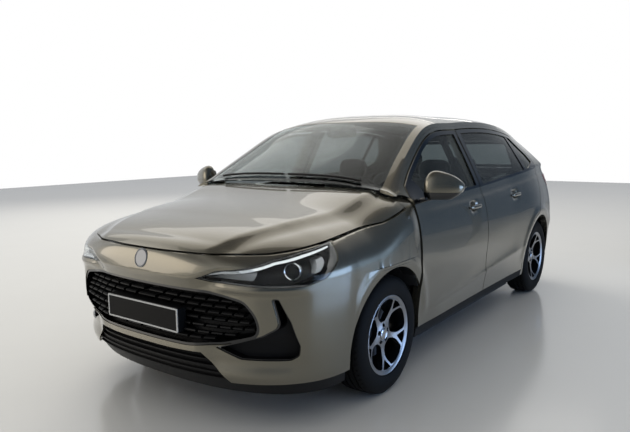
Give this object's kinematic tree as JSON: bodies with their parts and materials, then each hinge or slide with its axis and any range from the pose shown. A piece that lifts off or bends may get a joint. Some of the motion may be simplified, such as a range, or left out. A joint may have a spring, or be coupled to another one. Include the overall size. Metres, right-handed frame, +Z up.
{
  "type": "five-door hatchback car",
  "caption": "Compact hatchback car with side doors, bonnet and tailgate that open, steered front wheels, a glazed cabin with seats, and a wide dark grille.",
  "frame": {"origin": "on the ground, halfway along the car's length and on its centre plane", "axes": "+X forward, +Y to the car's left, +Z up"},
  "size_m": [4.1107, 2.1442, 1.5005],
  "materials": {
    "paint": "satin champagne-silver metallic lacquer",
    "glass": "tinted",
    "clear_lens": "clear",
    "red_lens": "gloss",
    "black_gloss": "gloss",
    "black_plastic": "matte",
    "trim_plastic": "matte",
    "seat_fabric": "woven",
    "steel": "bare",
    "primer": "dark underbody coating",
    "cast": "rough",
    "alloy": "machined",
    "tyre": "matte"
  },
  "bodies": {
    "body": {"underbody": "primer", "left_body_side": "paint", "right_body_side": "paint", "roof": "paint", "windscreen": "glass", "left_fender": "paint", "right_fender": "paint", "front_bumper": "paint", "grille": "black_gloss", "skirts": "black_plastic", "rear_bumper": "paint", "headlamp_units": "black_gloss", "headlamp_lenses": "clear_lens", "tail_lamps": "red_lens", "dashboard": "trim_plastic", "steering_wheel": "trim_plastic", "seats": "seat_fabric", "engine": "cast", "front_subframe": "cast", "rear_axle": "cast", "exhaust": "steel", "wipers": "black_plastic"},
    "bonnet": {"bonnet": "paint"},
    "tailgate": {"tailgate": "paint", "tailgate_glass": "glass"},
    "left_front_door_body": {"left_front_door": "paint", "left_front_glass": "glass", "left_mirror": "paint"},
    "left_rear_door_body": {"left_rear_door": "paint", "left_rear_glass": "glass"},
    "left_knuckle_body": {"left_knuckle": "cast"},
    "left_front_wheel": {"left_front_tyre": "tyre", "left_front_rim": "alloy"},
    "left_rear_wheel": {"left_rear_tyre": "tyre", "left_rear_rim": "alloy"},
    "right_front_door_body": {"right_front_door": "paint", "right_front_glass": "glass", "right_mirror": "paint"},
    "right_rear_door_body": {"right_rear_door": "paint", "right_rear_glass": "glass"},
    "right_knuckle_body": {"right_knuckle": "cast"},
    "right_front_wheel": {"right_front_tyre": "tyre", "right_front_rim": "alloy"},
    "right_rear_wheel": {"right_rear_tyre": "tyre", "right_rear_rim": "alloy"}
  },
  "joints": [
    {"name": "left_front_door_hinge", "type": "hinge", "parent": "body", "child": "left_front_door_body", "pos_m": [0.785, 0.86991, 0.63], "axis": [0, 0, -1], "range_deg": [0, 65]},
    {"name": "left_rear_door_hinge", "type": "hinge", "parent": "body", "child": "left_rear_door_body", "pos_m": [-0.249, 0.86215, 0.63], "axis": [0, 0, -1], "range_deg": [0, 65]},
    {"name": "right_front_door_hinge", "type": "hinge", "parent": "body", "child": "right_front_door_body", "pos_m": [0.785, -0.86991, 0.63], "axis": [0, 0, 1], "range_deg": [0, 65]},
    {"name": "right_rear_door_hinge", "type": "hinge", "parent": "body", "child": "right_rear_door_body", "pos_m": [-0.249, -0.86215, 0.63], "axis": [0, 0, 1], "range_deg": [0, 65]},
    {"name": "bonnet_hinge", "type": "hinge", "parent": "body", "child": "bonnet", "pos_m": [0.975, 0, 1], "axis": [0, -1, 0], "range_deg": [0, 45]},
    {"name": "tailgate_hinge", "type": "hinge", "parent": "body", "child": "tailgate", "pos_m": [-1.57, 0, 1.443], "axis": [0, 1, 0], "range_deg": [0, 80]},
    {"name": "left_steering", "type": "hinge", "parent": "body", "child": "left_knuckle_body", "pos_m": [1.165, 0.68278, 0.31], "axis": [0, -0.2571, 0.9664], "range_deg": [-35, 35]},
    {"name": "right_steering", "type": "hinge", "parent": "body", "child": "right_knuckle_body", "pos_m": [1.165, -0.68278, 0.31], "axis": [0, 0.2571, 0.9664], "range_deg": [-35, 35]},
    {"name": "left_front_wheel_spin", "type": "hinge", "parent": "left_knuckle_body", "child": "left_front_wheel", "pos_m": [1.165, 0.77, 0.31], "axis": [0, 1, 0], "continuous": true},
    {"name": "left_rear_wheel_spin", "type": "hinge", "parent": "body", "child": "left_rear_wheel", "pos_m": [-1.405, 0.77, 0.31], "axis": [0, 1, 0], "continuous": true},
    {"name": "right_front_wheel_spin", "type": "hinge", "parent": "right_knuckle_body", "child": "right_front_wheel", "pos_m": [1.165, -0.77, 0.31], "axis": [0, 1, 0], "continuous": true},
    {"name": "right_rear_wheel_spin", "type": "hinge", "parent": "body", "child": "right_rear_wheel", "pos_m": [-1.405, -0.77, 0.31], "axis": [0, 1, 0], "continuous": true}
  ],
  "couplings": [
    {"joint": "right_steering", "follows": "left_steering", "ratio": 1}
  ]
}
